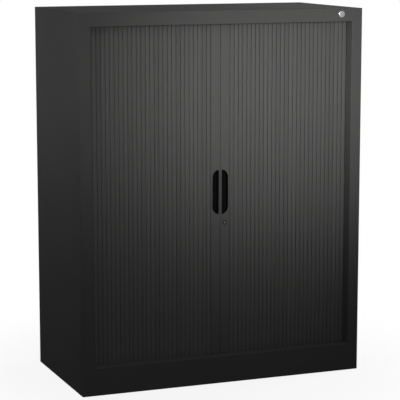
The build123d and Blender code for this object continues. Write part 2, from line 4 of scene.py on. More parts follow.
import bmesh
import bpy
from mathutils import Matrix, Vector

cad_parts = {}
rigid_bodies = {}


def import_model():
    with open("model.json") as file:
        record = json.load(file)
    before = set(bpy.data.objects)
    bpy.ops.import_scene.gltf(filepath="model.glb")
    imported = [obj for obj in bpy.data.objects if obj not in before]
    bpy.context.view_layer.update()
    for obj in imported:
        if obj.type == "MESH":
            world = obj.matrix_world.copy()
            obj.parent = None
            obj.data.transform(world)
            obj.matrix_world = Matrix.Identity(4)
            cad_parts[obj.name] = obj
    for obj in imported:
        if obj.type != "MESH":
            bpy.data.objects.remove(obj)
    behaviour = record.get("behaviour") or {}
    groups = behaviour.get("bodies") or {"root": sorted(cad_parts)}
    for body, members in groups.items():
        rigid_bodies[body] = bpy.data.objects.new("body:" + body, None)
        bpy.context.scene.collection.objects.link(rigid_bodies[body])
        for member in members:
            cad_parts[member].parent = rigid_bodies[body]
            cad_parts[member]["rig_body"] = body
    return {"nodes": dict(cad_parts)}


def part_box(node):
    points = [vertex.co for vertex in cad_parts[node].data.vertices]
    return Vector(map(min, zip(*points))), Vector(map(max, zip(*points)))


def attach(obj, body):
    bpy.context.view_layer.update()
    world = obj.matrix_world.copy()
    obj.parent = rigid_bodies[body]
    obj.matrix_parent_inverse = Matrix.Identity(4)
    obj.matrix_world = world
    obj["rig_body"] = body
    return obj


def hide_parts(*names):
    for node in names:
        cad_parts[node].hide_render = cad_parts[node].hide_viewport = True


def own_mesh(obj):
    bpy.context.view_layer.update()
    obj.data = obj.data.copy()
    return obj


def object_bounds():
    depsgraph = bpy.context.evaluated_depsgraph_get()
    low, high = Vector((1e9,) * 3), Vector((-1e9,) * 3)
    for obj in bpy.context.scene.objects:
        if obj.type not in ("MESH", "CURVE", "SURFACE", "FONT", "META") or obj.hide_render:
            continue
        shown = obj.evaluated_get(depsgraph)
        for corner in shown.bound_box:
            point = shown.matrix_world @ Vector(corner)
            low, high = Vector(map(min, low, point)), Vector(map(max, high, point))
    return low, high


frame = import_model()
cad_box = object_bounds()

# The cabinet stands on a pale studio floor that runs out into a white surround, seen through a long lens
# from the front left, a little above its top. Five soft-edged spots light the front from both its sides, the
# opening's right-hand edge, the left side and the plinth. Weak soft boxes fill the top, right and back.
CAMERA_PLACE = (-1.8794, -4.7753, 1.3527)
CAMERA_TILT = math.radians(90 - 9.126)
CAMERA_TURN = math.radians(-21.58)
CAMERA_LENS = 150.19
WHITE_HEX = "#ffffff"
FLOOR_REACH = 30.0
FLOOR_SHADOW_REACH = (0.45, 1.0)
FLOOR_SHADOW_SHARE = 0.12
FLOOR_HEX = "#fcfcfb"
FLOOR_BOUNCE_HEX = "#4a4a4a"
SKY_LIGHT = 0.05
WIDE_SPOT_STRETCH = 1.5


def from_hex(code):
    """An sRGB hex colour as the linear values that the shaders work in."""
    channels = [int(code[i:i + 2], 16) / 255 for i in (1, 3, 5)]
    linear = [c / 12.92 if c <= 0.04045 else ((c + 0.055) / 1.055) ** 2.4 for c in channels]
    return (*linear, 1.0)


def add(tree, kind, inputs=None, **settings):
    """Adds one node with its settings, and sets or links each input that is named or numbered."""
    made = tree.nodes.new(kind)
    for name, value in settings.items():
        setattr(made, name, value)
    for socket, value in (inputs or {}).items():
        if isinstance(value, bpy.types.NodeSocket):
            tree.links.new(value, made.inputs[socket])
        else:
            made.inputs[socket].default_value = value
    return made


def new_material(name):
    """A material with an empty node tree."""
    material = bpy.data.materials.new(name)
    material.use_nodes = True
    material.node_tree.nodes.clear()
    return material, material.node_tree


def new_object(name, data):
    """An object at the origin, in the scene, that holds a mesh, a camera or a light."""
    made = bpy.data.objects.new(name, data)
    bpy.context.scene.collection.objects.link(made)
    return made


def seen_directly(tree):
    """1 for rays from the camera, a mirror or glass, and 0 for light that falls on things."""
    path = add(tree, "ShaderNodeLightPath").outputs
    camera_or_gloss = add(tree, "ShaderNodeMath", {0: path["Is Camera Ray"], 1: path["Is Glossy Ray"]},
                          operation="MAXIMUM").outputs[0]
    return add(tree, "ShaderNodeMath", {0: camera_or_gloss, 1: path["Is Transmission Ray"]},
               operation="MAXIMUM").outputs[0]


camera_data = bpy.data.cameras.new("camera")
camera_data.lens = CAMERA_LENS
camera = new_object("camera", camera_data)
camera.location = CAMERA_PLACE
camera.rotation_euler = (CAMERA_TILT, 0, CAMERA_TURN)
bpy.context.scene.camera = camera
bpy.context.scene.view_settings.view_transform = "Standard"

surround = bpy.data.worlds.new("studio_surround")
surround.use_nodes = True
sky = surround.node_tree
sky.nodes.clear()
sky_light = add(sky, "ShaderNodeBackground", {"Color": from_hex(WHITE_HEX), "Strength": SKY_LIGHT}).outputs[0]
sky_seen = add(sky, "ShaderNodeBackground", {"Color": from_hex(WHITE_HEX), "Strength": 1.0}).outputs[0]
sky_mix = add(sky, "ShaderNodeMixShader", {0: seen_directly(sky), 1: sky_light, 2: sky_seen}).outputs[0]
add(sky, "ShaderNodeOutputWorld", {"Surface": sky_mix})
bpy.context.scene.world = surround


def studio_paper():
    """Matt white paper that keeps the shadow round the cabinet and fades to plain white further out."""
    material, tree = new_material("studio_paper")
    place = add(tree, "ShaderNodeTexCoord").outputs["Object"]
    distance = add(tree, "ShaderNodeVectorMath", {0: place}, operation="LENGTH").outputs["Value"]
    near, far = FLOOR_SHADOW_REACH
    lit_share = add(tree, "ShaderNodeMapRange", {
        "Value": distance, "From Min": near, "From Max": far, "To Min": FLOOR_SHADOW_SHARE, "To Max": 0.0,
    }, interpolation_type="SMOOTHSTEP").outputs[0]
    paper = add(tree, "ShaderNodeBsdfDiffuse", {"Color": from_hex(FLOOR_HEX)}).outputs[0]
    white = add(tree, "ShaderNodeEmission", {"Color": from_hex(WHITE_HEX), "Strength": 1.0}).outputs[0]
    bounce = add(tree, "ShaderNodeBsdfDiffuse", {"Color": from_hex(FLOOR_BOUNCE_HEX)}).outputs[0]
    seen = add(tree, "ShaderNodeMixShader", {0: lit_share, 1: white, 2: paper}).outputs[0]
    surface = add(tree, "ShaderNodeMixShader", {0: seen_directly(tree), 1: bounce, 2: seen}).outputs[0]
    add(tree, "ShaderNodeOutputMaterial", {"Surface": surface})
    return material


floor_mesh = bpy.data.meshes.new("studio_floor")
floor_corners = [(x * FLOOR_REACH, y * FLOOR_REACH, 0) for x, y in ((-1, -1), (1, -1), (1, 1), (-1, 1))]
floor_mesh.from_pydata(floor_corners, [], [(0, 1, 2, 3)])
floor_mesh.materials.append(studio_paper())
new_object("studio_floor", floor_mesh)


def hang_lamp(name, kind, place, aim, watts, **settings):
    """A lamp that points at a spot on the cabinet and can't be seen itself."""
    light = bpy.data.lights.new(name, kind)
    light.energy = watts
    for setting, value in settings.items():
        setattr(light, setting, value)
    lamp = new_object(name, light)
    lamp.location = place
    lamp.rotation_euler = (Vector(aim) - Vector(place)).to_track_quat("-Z", "Y").to_euler()
    lamp.visible_camera = False
    return lamp


def hang_spot(name, place, aim, watts, cone, size):
    """A spot of a given size, whose light fades from the middle of its cone, in degrees, to the edge."""
    return hang_lamp(name, "SPOT", place, aim, watts, spot_size=math.radians(cone), spot_blend=1.0,
                     shadow_soft_size=size)


hang_spot("key_spot", (0.5, -3.6, 1.3), (0.25, -0.22, 0.95), watts=376, cone=24, size=0.25)
wide_spot = hang_spot("wide_spot", (-1.2, -3.6, 1.3), (-0.1, -0.2, 1.05), watts=165, cone=24, size=0.25)
wide_spot.scale.x = WIDE_SPOT_STRETCH
hang_spot("side_spot", (-3.4, -0.25, 1.4), (-0.45, 0.0, 1.05), watts=101, cone=30, size=0.4)
hang_spot("edge_spot", (-2.8, -2.4, 1.4), (0.42, -0.2, 0.95), watts=683, cone=14, size=0.3)
hang_spot("low_spot", (-0.6, -2.2, 2.2), (-0.2, -0.2, 0.15), watts=92, cone=50, size=0.3)
hang_lamp("top_lamp", "AREA", (0.45, 0.0, 1.7), (0.45, 0.0, 1.1), watts=2.6, size=0.3)
hang_lamp("right_lamp", "AREA", (3.0, 0.4, 1.1), (0.45, 0.0, 0.6), watts=60, size=1.2)
hang_lamp("back_lamp", "AREA", (-0.4, 3.2, 0.8), (0.0, 0.2, 0.6), watts=50, size=1.0)
hang_lamp("back_left_lamp", "AREA", (-2.4, 2.0, 1.6), (-0.45, 0.2, 1.0), watts=6, size=0.8)


# The carcass is folded from 1 mm sheet steel: front frame, sides, back, top, pans, liners and shelves.
# It is spot-welded, phosphated and sprayed with graphite polyester powder, then baked, which leaves an
# even satin skin with a very fine orange peel and no visible weld or seam.
MM = 0.001
COAT_SHADES = ("#3d3d3d", "#434342")
COAT_CLOUD = 180 * MM
COAT_PEEL = 1.6 * MM
COAT_PEEL_DEPTH = 0.03 * MM
COAT_ROUGHNESS = (0.68, 0.8)
COAT_SPECULAR = 0.01
# Grains of powder are about a tenth of this, and are drawn coarser so that they show.
COAT_GRAIN = 0.5 * MM


def powder_coat(name, shades):
    """Baked powder over metal: a clouded tone, a fine peel, and gloss that varies from grain to grain."""
    # Here and below, a colour Mix takes its share at socket 0 and its colours at 6 and 7, and gives out 2.
    material, tree = new_material(name)
    place = add(tree, "ShaderNodeTexCoord").outputs["Object"]
    cloud = add(tree, "ShaderNodeTexNoise", {"Vector": place, "Scale": 1 / COAT_CLOUD, "Detail": 3.0})
    tone = add(tree, "ShaderNodeMix", {
        0: cloud.outputs["Fac"], 6: from_hex(shades[0]), 7: from_hex(shades[1]),
    }, data_type="RGBA").outputs[2]
    grain = add(tree, "ShaderNodeTexNoise", {"Vector": place, "Scale": 1 / COAT_GRAIN, "Detail": 1.0})
    gloss = add(tree, "ShaderNodeMapRange", {
        "Value": grain.outputs["Fac"], "To Min": COAT_ROUGHNESS[0], "To Max": COAT_ROUGHNESS[1],
    }).outputs[0]
    peel = add(tree, "ShaderNodeTexNoise", {"Vector": place, "Scale": 1 / COAT_PEEL, "Detail": 2.0})
    bump = add(tree, "ShaderNodeBump", {
        "Height": peel.outputs["Fac"], "Distance": COAT_PEEL_DEPTH, "Strength": 1.0,
    }).outputs[0]
    skin = add(tree, "ShaderNodeBsdfPrincipled", {
        "Base Color": tone, "Roughness": gloss, "Specular IOR Level": COAT_SPECULAR, "Normal": bump,
    }).outputs[0]
    add(tree, "ShaderNodeOutputMaterial", {"Surface": skin})
    return material


def finish_nodes(material, *names):
    """Gives pieces of the frame their finish."""
    for name in names:
        mesh = frame["nodes"][name].data
        mesh.materials.clear()
        mesh.materials.append(material)


graphite_coat = powder_coat("graphite_polyester_powder_coat", COAT_SHADES)
finish_nodes(
    graphite_coat, "header_rail", "plinth_rail", "left_front_stile", "right_front_stile",
    "left_side_panel", "right_side_panel", "back_panel", "top_panel", "floor_pan", "ceiling_pan",
    "left_liner", "right_liner", "lower_shelf", "middle_shelf", "upper_shelf",
)


# Steel blind rivets, bright with zinc plate, hold the back panel to the side panels' flanges. They were set
# after the cabinet was painted, and each head shows the broken stem of its mandrel in a shallow well.
# The crown and the stem are given in shares of the head's or the well's radius, and of the head's height.
RIVET_HEAD = 3.2 * MM
RIVET_HEIGHT = 1.0 * MM
RIVET_WELL = 1.1 * MM
RIVET_SHANK = 1.6 * MM
RIVET_REACH = 3.5 * MM
RIVET_CROWN = ((1, 0), (1, 0.25), (0.92, 0.6), (0.72, 0.88))
RIVET_STEM = ((1, 1), (0.9, 0.35), (0.8, 0.55), (0, 0.6))
RIVET_SIDES = 28
MERGE_WITHIN = 0.001 * MM
ZINC_SHADES = ("#8f9193", "#b9bbbd")
ZINC_WEAR = 2.4 * MM
ZINC_ROUGHNESS = (0.28, 0.48)
# Zinc crystals are far smaller than this, and are drawn coarser so that they show.
ZINC_CRYSTAL = 1.2 * MM


def bright_zinc():
    """Bright zinc plate: crystals that differ in tone from one to the next, and gloss dulled in patches."""
    material, tree = new_material("bright_zinc_plate")
    place = add(tree, "ShaderNodeTexCoord").outputs["Object"]
    crystals = add(tree, "ShaderNodeTexVoronoi", {"Vector": place, "Scale": 1 / ZINC_CRYSTAL})
    tone = add(tree, "ShaderNodeMix", {
        0: crystals.outputs["Color"], 6: from_hex(ZINC_SHADES[0]), 7: from_hex(ZINC_SHADES[1]),
    }, data_type="RGBA").outputs[2]
    wear = add(tree, "ShaderNodeTexNoise", {"Vector": place, "Scale": 1 / ZINC_WEAR, "Detail": 4.0})
    gloss = add(tree, "ShaderNodeMapRange", {
        "Value": wear.outputs["Fac"], "To Min": ZINC_ROUGHNESS[0], "To Max": ZINC_ROUGHNESS[1],
    }).outputs[0]
    skin = add(tree, "ShaderNodeBsdfPrincipled", {
        "Base Color": tone, "Metallic": 1.0, "Roughness": gloss,
    }).outputs[0]
    add(tree, "ShaderNodeOutputMaterial", {"Surface": skin})
    return material


def head_outline(head, height, shank, reach, crown):
    """A fastener's outline, from the foot of its shank up over a crown given in shares of the head."""
    foot = [(0, -reach), (shank, -reach), (shank, 0)]
    return foot + [(across * head, up * height) for across, up in crown]


def turned(outline, sides):
    """A solid turned round the Z axis, from an outline that starts and ends on the axis."""
    shape = bmesh.new()
    rings = []
    for radius, height in outline:
        count = sides if radius > 0 else 1
        turns = [math.tau * i / sides for i in range(count)]
        rings.append([shape.verts.new((radius * math.cos(t), radius * math.sin(t), height)) for t in turns])
    for low, high in zip(rings, rings[1:]):
        for i in range(sides):
            j = (i + 1) % sides
            quad = (low[i % len(low)], low[j % len(low)], high[j % len(high)], high[i % len(high)])
            shape.faces.new(list(dict.fromkeys(quad)))
    return shape


def mesh_from(name, shape, crease=35.0):
    """The mesh of a finished shape, smooth except along edges that turn by more than the crease."""
    mesh = bpy.data.meshes.new(name)
    shape.to_mesh(mesh)
    shape.free()
    mesh.shade_smooth()
    mesh.set_sharp_from_angle(angle=math.radians(crease))
    return mesh


def solids_of(node):
    """The lowest and highest corner of each separate solid in a frame node, in order of the lowest corner."""
    shape = bmesh.new()
    shape.from_mesh(frame["nodes"][node].data)
    bmesh.ops.remove_doubles(shape, verts=shape.verts, dist=MERGE_WITHIN)
    waiting = set(shape.verts)
    boxes = []
    while waiting:
        found = [waiting.pop()]
        for vertex in found:
            for edge in vertex.link_edges:
                other = edge.other_vert(vertex)
                if other in waiting:
                    waiting.discard(other)
                    found.append(other)
        low = Vector([min(v.co[k] for v in found) for k in range(3)])
        high = Vector([max(v.co[k] for v in found) for k in range(3)])
        boxes.append((low, high))
    shape.free()
    return sorted(boxes, key=lambda box: tuple(round(c, 4) for c in box[0]))


def seats_of(node, height, facing_at):
    """The place under each fastener's head, and the way that the head looks, which depends on its place."""
    seats = []
    for low, high in solids_of(node):
        middle = (low + high) / 2
        facing = facing_at(middle)
        axis = max(range(3), key=lambda k: abs(facing[k]))
        top = high[axis] if facing[axis] > 0 else low[axis]
        middle[axis] = top - facing[axis] * height
        seats.append((tuple(middle), facing))
    return seats


def to_the_back(place):
    """The way that heads look on the back panel and on the back of the lock."""
    return (0, 1, 0)


def new_tree(name, sockets):
    """A Geometry Nodes tree with its inputs, which gives back the tree and its inputs' sockets."""
    tree = bpy.data.node_groups.new(name, "GeometryNodeTree")
    for label, kind in sockets:
        tree.interface.new_socket(label, in_out="INPUT", socket_type=kind)
    tree.interface.new_socket("Geometry", in_out="OUTPUT", socket_type="NodeSocketGeometry")
    return tree, add(tree, "NodeGroupInput").outputs


def run_tree(name, tree, mesh, values):
    """Runs a tree once on a mesh, and gives a plain piece with the result and no modifier."""
    piece = new_object(name, mesh)
    builder = piece.modifiers.new("builder", "NODES")
    builder.node_group = tree
    for item in tree.interface.items_tree:
        if item.in_out == "INPUT" and item.name in values:
            builder[item.identifier] = values[item.name]
    depsgraph = bpy.context.evaluated_depsgraph_get()
    result = bpy.data.meshes.new_from_object(
        piece.evaluated_get(depsgraph), preserve_all_data_layers=True, depsgraph=depsgraph,
    )
    piece.modifiers.remove(builder)
    piece.data = result
    result.name = name
    return piece


def fastener_setter():
    """Stands one fastener on each seat, along the seat's own direction, with its head turned at random."""
    tree, given = new_tree("set_fasteners", (
        ("Seats", "NodeSocketGeometry"), ("Fastener", "NodeSocketObject"),
        ("Finish", "NodeSocketMaterial"), ("Seed", "NodeSocketInt"),
    ))
    pattern = add(tree, "GeometryNodeObjectInfo", {"Object": given["Fastener"]}).outputs["Geometry"]
    facing = add(tree, "GeometryNodeInputNamedAttribute", {"Name": "facing"}, data_type="FLOAT_VECTOR")
    upright = add(tree, "FunctionNodeAlignRotationToVector", {"Vector": facing.outputs[0]}, axis="Z")
    angle = add(tree, "FunctionNodeRandomValue", {
        2: 0.0, 3: math.tau, "Seed": given["Seed"],
    }, data_type="FLOAT").outputs[1]
    spin = add(tree, "FunctionNodeAxisAngleToRotation", {"Axis": (0, 0, 1), "Angle": angle})
    turn = add(tree, "FunctionNodeRotateRotation", {
        "Rotation": upright.outputs[0], "Rotate By": spin.outputs[0],
    }, rotation_space="LOCAL").outputs[0]
    placed = add(tree, "GeometryNodeInstanceOnPoints", {
        "Points": given["Seats"], "Instance": pattern, "Rotation": turn,
    }).outputs[0]
    solid = add(tree, "GeometryNodeRealizeInstances", {"Geometry": placed}).outputs[0]
    finished = add(tree, "GeometryNodeSetMaterial", {"Geometry": solid, "Material": given["Finish"]})
    add(tree, "NodeGroupOutput", {"Geometry": finished.outputs[0]})
    return tree


set_fasteners = fastener_setter()


def fasteners(node, shape, seats, finish, seed):
    """Fasteners in place of a frame node: a head and shank along +Z, and a (place, direction) for each."""
    pattern = bpy.data.objects.new("pattern", mesh_from("pattern", shape))
    points = bpy.data.meshes.new("seats")
    points.from_pydata([place for place, direction in seats], [], [])
    facing = points.attributes.new("facing", "FLOAT_VECTOR", "POINT")
    for slot, (place, direction) in zip(facing.data, seats):
        slot.vector = direction
    values = {"Fastener": pattern, "Finish": finish, "Seed": seed}
    piece = run_tree(f"{node}_set", set_fasteners, points, values)
    bpy.data.objects.remove(pattern)
    body = frame["nodes"][node]["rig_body"]
    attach(piece, body)
    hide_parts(node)


zinc_plate = bright_zinc()
rivet_outline = head_outline(RIVET_HEAD, RIVET_HEIGHT, RIVET_SHANK, RIVET_REACH, RIVET_CROWN)
rivet_outline += [(across * RIVET_WELL, up * RIVET_HEIGHT) for across, up in RIVET_STEM]
rivet_seats = seats_of("back_panel_rivets", RIVET_HEIGHT, to_the_back)
fasteners("back_panel_rivets", turned(rivet_outline, RIVET_SIDES), rivet_seats, zinc_plate, seed=3)


# Extruded channels in black PVC guide the curtains along the front, round the corners and back along the
# sides. They press into the lower rim of each pan, and a moulded rubber block closes each end at the back.
# Their die lines are level, so the pattern is drawn out along the floor in both directions.
TRACK_SHADES = ("#131313", "#1c1c1c")
TRACK_ROUGHNESS = (0.35, 0.5)
DIE_LINE = 0.5 * MM
DIE_LINE_LENGTH = 60 * MM
STOP_GRAIN = 0.8 * MM
STOP_ROUGHNESS = (0.7, 0.85)
PLASTIC_DEPTH = 0.02 * MM
PLASTIC_SPECULAR = 0.02


def black_moulding(name, shades, grain, roughness, stretch=(1.0, 1.0, 1.0)):
    """Black plastic or rubber with a fine grain from its die or mould, drawn out by the stretch."""
    material, tree = new_material(name)
    place = add(tree, "ShaderNodeTexCoord").outputs["Object"]
    scale = [1 / (grain * s) for s in stretch]
    drawn = add(tree, "ShaderNodeMapping", {"Vector": place, "Scale": scale}).outputs[0]
    marks = add(tree, "ShaderNodeTexNoise", {"Vector": drawn, "Scale": 1.0, "Detail": 3.0}).outputs["Fac"]
    tone = add(tree, "ShaderNodeMix", {
        0: marks, 6: from_hex(shades[0]), 7: from_hex(shades[1]),
    }, data_type="RGBA").outputs[2]
    gloss = add(tree, "ShaderNodeMapRange", {
        "Value": marks, "To Min": roughness[0], "To Max": roughness[1],
    }).outputs[0]
    bump = add(tree, "ShaderNodeBump", {"Height": marks, "Distance": PLASTIC_DEPTH}).outputs[0]
    skin = add(tree, "ShaderNodeBsdfPrincipled", {
        "Base Color": tone, "Roughness": gloss, "Specular IOR Level": PLASTIC_SPECULAR, "Normal": bump,
    }).outputs[0]
    add(tree, "ShaderNodeOutputMaterial", {"Surface": skin})
    return material


drawn_out = DIE_LINE_LENGTH / DIE_LINE
track_pvc = black_moulding(
    "extruded_black_pvc", TRACK_SHADES, DIE_LINE, TRACK_ROUGHNESS, (drawn_out, drawn_out, 1.0),
)
finish_nodes(
    track_pvc, "bottom_front_track", "top_front_track", "left_bottom_corner_track",
    "left_top_corner_track", "right_bottom_corner_track", "right_top_corner_track",
)
stop_rubber = black_moulding("moulded_black_rubber", TRACK_SHADES, STOP_GRAIN, STOP_ROUGHNESS)
finish_nodes(stop_rubber, "curtain_end_stops")


# Each curtain is a row of extruded rigid PVC slats, coloured graphite right through. A bead along one
# edge turns in the C-shaped socket of the next slat, so the row is flat in front and rolls round a corner.
# The dies leave faint lines along every slat, and no two slats sit or shine quite alike.
SHEET = 1.0 * MM
SLATS_IN_FRONT = 28
SLATS_PER_CORNER = 3
SLAT_PLATE = 3.0 * MM
SLAT_GROOVE = 1.5 * MM
SLAT_ROUND = 1.0 * MM
SLAT_ROUND_STEPS = 5
SLAT_CROWN = 0.35 * MM
SLAT_CROWN_STEPS = 8
SLAT_SETBACK = 4.6 * MM
BEAD_RADIUS = 1.4 * MM
BEAD_STEPS = 22
NECK_WIDTH = 1.5 * MM
NECK_ANGLE = math.radians(222)
SOCKET_INNER = 1.7 * MM
SOCKET_OUTER = 3.0 * MM
SOCKET_MOUTH = (math.radians(152), math.radians(292))
SOCKET_STEPS = 16
TRACK_CLEARANCE = 2.2 * MM
SLAT_SWAY = math.radians(0.5)
SLAT_SHADES = ("#3e3e3e", "#484847")
SLAT_ROUGHNESS = (0.5, 0.64)
SLAT_SPECULAR = 0.05
SLAT_STREAK = 0.7 * MM
SLAT_STREAK_LENGTH = 300 * MM


def slat_vinyl():
    """Extruded rigid PVC: satin, with die lines along the slat and a slightly different tone on each one."""
    material, tree = new_material("extruded_graphite_pvc")
    place = add(tree, "ShaderNodeTexCoord").outputs["Object"]
    scale = (1 / SLAT_STREAK, 1 / SLAT_STREAK, 1 / SLAT_STREAK_LENGTH)
    drawn = add(tree, "ShaderNodeMapping", {"Vector": place, "Scale": scale}).outputs[0]
    lines = add(tree, "ShaderNodeTexNoise", {"Vector": drawn, "Scale": 1.0, "Detail": 2.0}).outputs["Fac"]
    own_tone = add(tree, "ShaderNodeAttribute", attribute_name="slat_tone").outputs["Fac"]
    mixed = add(tree, "ShaderNodeMath", {0: lines, 1: own_tone}, operation="ADD").outputs[0]
    share = add(tree, "ShaderNodeMath", {0: mixed, 1: 0.5}, operation="MULTIPLY").outputs[0]
    tone = add(tree, "ShaderNodeMix", {
        0: share, 6: from_hex(SLAT_SHADES[0]), 7: from_hex(SLAT_SHADES[1]),
    }, data_type="RGBA").outputs[2]
    gloss = add(tree, "ShaderNodeMapRange", {
        "Value": lines, "To Min": SLAT_ROUGHNESS[0], "To Max": SLAT_ROUGHNESS[1],
    }).outputs[0]
    bump = add(tree, "ShaderNodeBump", {"Height": lines, "Distance": PLASTIC_DEPTH}).outputs[0]
    skin = add(tree, "ShaderNodeBsdfPrincipled", {
        "Base Color": tone, "Roughness": gloss, "Specular IOR Level": SLAT_SPECULAR, "Normal": bump,
    }).outputs[0]
    add(tree, "ShaderNodeOutputMaterial", {"Surface": skin})
    return material


def arc(middle, radius, start, end, steps):
    """Points on an arc between two angles, both ends included."""
    turns = [start + (end - start) * i / steps for i in range(steps + 1)]
    return [(middle[0] + radius * math.cos(t), middle[1] + radius * math.sin(t)) for t in turns]


def slat_outline(pitch):
    """The slat's section, with its hinge at (0, 0), its face to -Y and its bead one pitch along."""
    left, right = SLAT_GROOVE / 2, pitch - SLAT_GROOVE / 2
    edge, back = SLAT_CROWN - SLAT_SETBACK, SLAT_PLATE - SLAT_SETBACK
    shoulder = edge + SLAT_ROUND
    face_start, face_end = left + SLAT_ROUND, right - SLAT_ROUND
    quarter = math.pi / 2
    outline = arc((face_start, shoulder), SLAT_ROUND, 2 * quarter, 3 * quarter, SLAT_ROUND_STEPS)
    for i in range(1, SLAT_CROWN_STEPS):
        share = i / SLAT_CROWN_STEPS
        bulge = SLAT_CROWN * (1 - (2 * share - 1) ** 2)
        outline.append((face_start + share * (face_end - face_start), edge - bulge))
    outline += arc((face_end, shoulder), SLAT_ROUND, 3 * quarter, 4 * quarter, SLAT_ROUND_STEPS)

    half_neck = math.asin(NECK_WIDTH / 2 / BEAD_RADIUS)
    bead_start, bead_end = NECK_ANGLE + half_neck, NECK_ANGLE - half_neck + math.tau
    side = (-math.sin(NECK_ANGLE) * NECK_WIDTH / 2, math.cos(NECK_ANGLE) * NECK_WIDTH / 2)
    near_run = (SLAT_GROOVE / 2 + side[0]) / -math.cos(NECK_ANGLE)
    outline.append((right, near_run * math.sin(NECK_ANGLE) + side[1]))
    outline += arc((pitch, 0), BEAD_RADIUS, bead_start, bead_end, BEAD_STEPS)
    far_run = (back + side[1]) / math.sin(NECK_ANGLE)
    outline.append((pitch + far_run * math.cos(NECK_ANGLE) - side[0], back))

    join = math.asin(back / SOCKET_OUTER)
    mouth_start, mouth_end = SOCKET_MOUTH
    outline += arc((0, 0), SOCKET_OUTER, join, mouth_start, SOCKET_STEPS)
    outline += arc((0, 0), SOCKET_INNER, mouth_start, mouth_end - math.tau, SOCKET_STEPS)
    outline.append((left, left * math.tan(mouth_end)))
    return outline


def slat_shape(pitch, bottom, top, hand):
    """One slat as a solid bar, for the right-hand curtain, or for the left with a hand of -1."""
    shape = bmesh.new()
    outline = slat_outline(pitch)[::hand]
    lower = [shape.verts.new((hand * x, y, bottom)) for x, y in outline]
    upper = [shape.verts.new((hand * x, y, top)) for x, y in outline]
    shape.faces.new(lower[::-1])
    shape.faces.new(upper)
    for i in range(len(outline)):
        j = (i + 1) % len(outline)
        shape.faces.new((lower[i], lower[j], upper[j], upper[i]))
    return shape


def curtain_layer():
    """Lays slats side by side from the first hinge, and turns one more round the start of the corner."""
    tree, given = new_tree("lay_slats", (
        ("Slat", "NodeSocketGeometry"), ("Slats", "NodeSocketInt"), ("First hinge", "NodeSocketVector"),
        ("Step", "NodeSocketVector"), ("Corner hinge", "NodeSocketVector"),
        ("Corner turn", "NodeSocketFloat"), ("Sway", "NodeSocketFloat"), ("Seed", "NodeSocketInt"),
        ("Finish", "NodeSocketMaterial"),
    ))
    hinges = add(tree, "GeometryNodeMeshLine", {
        "Count": given["Slats"], "Start Location": given["First hinge"], "Offset": given["Step"],
    }, mode="OFFSET").outputs[0]
    least = add(tree, "ShaderNodeMath", {0: given["Sway"], 1: -1.0}, operation="MULTIPLY").outputs[0]
    sway = add(tree, "FunctionNodeRandomValue", {
        2: least, 3: given["Sway"], "Seed": given["Seed"],
    }, data_type="FLOAT").outputs[1]
    turn = add(tree, "FunctionNodeAxisAngleToRotation", {"Axis": (0, 0, 1), "Angle": sway}).outputs[0]
    front = add(tree, "GeometryNodeInstanceOnPoints", {
        "Points": hinges, "Instance": given["Slat"], "Rotation": turn,
    }).outputs[0]
    corner_point = add(tree, "GeometryNodePoints", {"Count": 1, "Position": given["Corner hinge"]}).outputs[0]
    corner_turn = add(tree, "FunctionNodeAxisAngleToRotation", {
        "Axis": (0, 0, 1), "Angle": given["Corner turn"],
    }).outputs[0]
    corner = add(tree, "GeometryNodeInstanceOnPoints", {
        "Points": corner_point, "Instance": given["Slat"], "Rotation": corner_turn,
    }).outputs[0]
    # A join takes both links at one socket, so they are made one by one.
    join = add(tree, "GeometryNodeJoinGeometry")
    tree.links.new(corner, join.inputs[0])
    tree.links.new(front, join.inputs[0])
    own_tone = add(tree, "FunctionNodeRandomValue", {
        2: 0.0, 3: 1.0, "Seed": given["Seed"],
    }, data_type="FLOAT").outputs[1]
    toned = add(tree, "GeometryNodeStoreNamedAttribute", {
        "Geometry": join.outputs[0], "Name": "slat_tone", "Value": own_tone,
    }, data_type="FLOAT", domain="INSTANCE").outputs[0]
    solid = add(tree, "GeometryNodeRealizeInstances", {"Geometry": toned}).outputs[0]
    finished = add(tree, "GeometryNodeSetMaterial", {"Geometry": solid, "Material": given["Finish"]})
    add(tree, "NodeGroupOutput", {"Geometry": finished.outputs[0]})
    return tree


lay_slats = curtain_layer()
slat_finish = slat_vinyl()
slat_floor, slat_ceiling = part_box("right_curtain_slats")[0].z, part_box("right_curtain_slats")[1].z
hinge_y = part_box("right_curtain_slats")[0].y + SLAT_SETBACK
lead_hinge_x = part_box("right_lead_stile")[1].x - BEAD_RADIUS
side_hinge_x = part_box("right_side_panel")[1].x - SHEET - SLAT_SETBACK - TRACK_CLEARANCE
corner_step = math.radians(90 / SLATS_PER_CORNER)
corner_pitches = 1 / (2 * math.sin(corner_step / 2))
slat_pitch = (side_hinge_x - lead_hinge_x) / (SLATS_IN_FRONT + corner_pitches)
corner_hinge_x = lead_hinge_x + SLATS_IN_FRONT * slat_pitch
for side, hand, seed in (("right", 1, 5), ("left", -1, 11)):
    slat = mesh_from("slat", slat_shape(slat_pitch, slat_floor, slat_ceiling, hand))
    curtain = run_tree(f"{side}_curtain", lay_slats, slat, {
        "Slats": SLATS_IN_FRONT, "First hinge": (hand * lead_hinge_x, hinge_y, 0),
        "Step": (hand * slat_pitch, 0, 0), "Corner hinge": (hand * corner_hinge_x, hinge_y, 0),
        "Corner turn": hand * corner_step / 2, "Sway": SLAT_SWAY, "Seed": seed, "Finish": slat_finish,
    })
    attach(curtain, "cabinet")
    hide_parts(f"{side}_curtain_slats")
    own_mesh(curtain)


